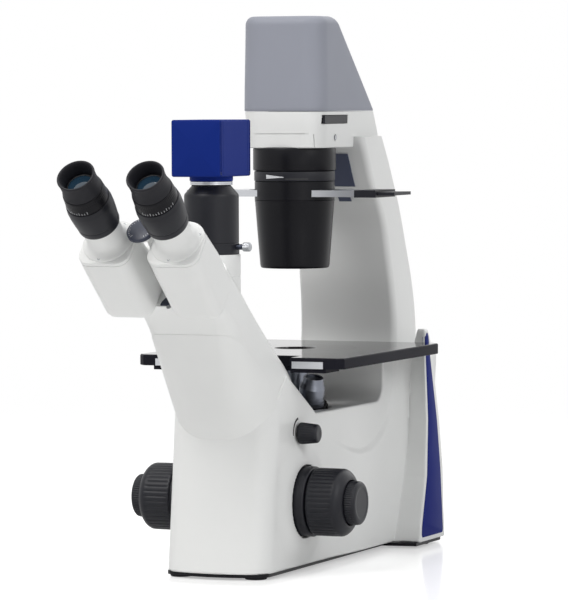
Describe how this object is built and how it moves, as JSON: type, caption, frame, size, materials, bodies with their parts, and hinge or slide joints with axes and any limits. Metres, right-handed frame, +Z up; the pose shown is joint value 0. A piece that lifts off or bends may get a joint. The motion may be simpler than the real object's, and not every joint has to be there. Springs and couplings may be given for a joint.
{
  "type": "inverted microscope",
  "caption": "Inverted laboratory microscope: transmitted-light column over a fixed stage, objectives below it, angled binocular head and a photo tube with a camera.",
  "frame": {"origin": "on the bench under the middle of the overall outline", "axes": "+Z up, -Y towards the user's eyepieces, +X to the user's right"},
  "size_m": [0.219, 0.6034, 0.5005],
  "materials": {
    "white_shell": "fine satin",
    "grey_cap": "fine satin",
    "blue_panel": "satin",
    "camera_blue": "fine satin",
    "black_plastic": "matt moulded",
    "black_metal": "satin black",
    "insert_grey": "matt",
    "dark_plate": "satin",
    "rubber": "matt",
    "silver": "satin anodised",
    "steel": "brushed",
    "chrome": "satin chrome",
    "glass": "coated",
    "mirror": "polished"
  },
  "bodies": {
    "stand": {"stand_housing": "white_shell", "base_plate": "black_metal", "rubber_feet": "rubber", "side_panels": "blue_panel", "power_inlet": "black_plastic", "column_housing": "white_shell", "column_plate": "dark_plate", "arm_head": "white_shell", "lamp_cap": "grey_cap", "led_module": "silver", "collector_lens": "glass", "condenser_mount": "black_metal", "condenser_body": "black_metal", "condenser_cone": "black_metal", "condenser_lens": "glass", "stage_plate": "black_metal", "stage_insert": "insert_grey", "stage_front_block": "black_metal", "stage_plates": "silver", "deflection_mirror": "mirror", "tube_lens": "glass", "tube_arm": "white_shell", "arm_front_cover": "white_shell", "binocular_body": "white_shell", "scale_disc": "dark_plate", "head_end_plate": "dark_plate", "photo_tube": "white_shell", "camera_adapter": "black_metal", "camera_mount": "silver", "camera_body": "camera_blue", "screws": "steel"},
    "switch": {"power_switch": "black_plastic"},
    "filter": {"filter_slider": "black_plastic"},
    "aperture": {"aperture_ring": "black_metal"},
    "phase": {"phase_slider": "silver", "slider_grips": "black_plastic"},
    "carrier": {"nosepiece_carrier": "black_metal"},
    "turret": {"nosepiece_turret": "black_metal", "objective_4": "chrome", "objective_10": "chrome", "objective_20": "chrome", "objective_40": "chrome"},
    "coarse": {"focus_shaft": "steel", "coarse_knobs": "black_plastic"},
    "fine": {"fine_knobs": "black_plastic"},
    "torque": {"torque_ring": "black_plastic"},
    "dimmer": {"intensity_knob": "black_plastic"},
    "ocular_left": {"prism_housing_left": "white_shell", "eyepiece_tube_left": "white_shell", "eyepiece_left": "black_plastic", "eyecup_left": "rubber", "eye_lens_left": "glass"},
    "ocular_right": {"prism_housing_right": "white_shell", "eyepiece_tube_right": "white_shell", "eyepiece_right": "black_plastic", "eyecup_right": "rubber", "eye_lens_right": "glass"},
    "diopter_left": {"diopter_ring_left": "black_plastic"},
    "diopter_right": {"diopter_ring_right": "black_plastic"},
    "thumbscrew": {"adapter_screw": "steel"}
  },
  "joints": [
    {"name": "power_rock", "type": "hinge", "parent": "stand", "child": "switch", "pos_m": [0.015, 0.29774, 0.046], "axis": [1, 0, 0], "range_deg": [0, 10]},
    {"name": "filter_slide", "type": "slide", "parent": "stand", "child": "filter", "axis": [1, 0, 0], "range_m": [0, 0.03]},
    {"name": "aperture_turn", "type": "hinge", "parent": "stand", "child": "aperture", "pos_m": [0, 0.11174, 0.2685], "axis": [0, 0, 1], "range_deg": [-30, 30]},
    {"name": "phase_slide", "type": "slide", "parent": "stand", "child": "phase", "axis": [1, 0, 0], "range_m": [-0.031, 0.031]},
    {"name": "coarse_turn", "type": "hinge", "parent": "stand", "child": "coarse", "pos_m": [0, 0.00114, 0.0634], "axis": [1, 0, 0], "range_deg": [-42.97, 17.9]},
    {"name": "nosepiece_lift", "type": "slide", "parent": "stand", "child": "carrier", "axis": [0, 0, 1], "range_m": [-0.0061, 0.0026]},
    {"name": "turret_turn", "type": "hinge", "parent": "carrier", "child": "turret", "pos_m": [0, 0.08728, 0.1445], "axis": [0, -0.2079, 0.9781], "continuous": true},
    {"name": "fine_turn", "type": "hinge", "parent": "stand", "child": "fine", "pos_m": [0, 0.00114, 0.0634], "axis": [1, 0, 0], "continuous": true},
    {"name": "torque_turn", "type": "hinge", "parent": "stand", "child": "torque", "pos_m": [0, 0.00114, 0.0634], "axis": [1, 0, 0], "range_deg": [0, 60]},
    {"name": "intensity_turn", "type": "hinge", "parent": "stand", "child": "dimmer", "pos_m": [0, -0.00396, 0.125], "axis": [1, 0, 0], "range_deg": [-20, 250]},
    {"name": "right_ocular_swing", "type": "hinge", "parent": "stand", "child": "ocular_right", "pos_m": [0, -0.1884, 0.29607], "axis": [0, -0.7431, 0.6691], "range_deg": [-11.2, 25.6]},
    {"name": "left_ocular_swing", "type": "hinge", "parent": "stand", "child": "ocular_left", "pos_m": [0, -0.1884, 0.29607], "axis": [0, -0.7431, 0.6691], "range_deg": [-25.7, 11.3]},
    {"name": "left_diopter_turn", "type": "hinge", "parent": "ocular_left", "child": "diopter_left", "pos_m": [-0.032, -0.27238, 0.34477], "axis": [0, -0.7431, 0.6691], "range_deg": [-90, 90]},
    {"name": "right_diopter_turn", "type": "hinge", "parent": "ocular_right", "child": "diopter_right", "pos_m": [0.032, -0.27238, 0.34477], "axis": [0, -0.7431, 0.6691], "range_deg": [-90, 90]},
    {"name": "adapter_screw_turn", "type": "hinge", "parent": "stand", "child": "thumbscrew", "pos_m": [0, -0.08026, 0.2946], "axis": [1, 0, 0], "continuous": true}
  ],
  "couplings": [
    {"joint": "nosepiece_lift", "follows": "coarse_turn", "m_per_rad": 0.008},
    {"joint": "left_ocular_swing", "follows": "right_ocular_swing", "ratio": -1}
  ]
}
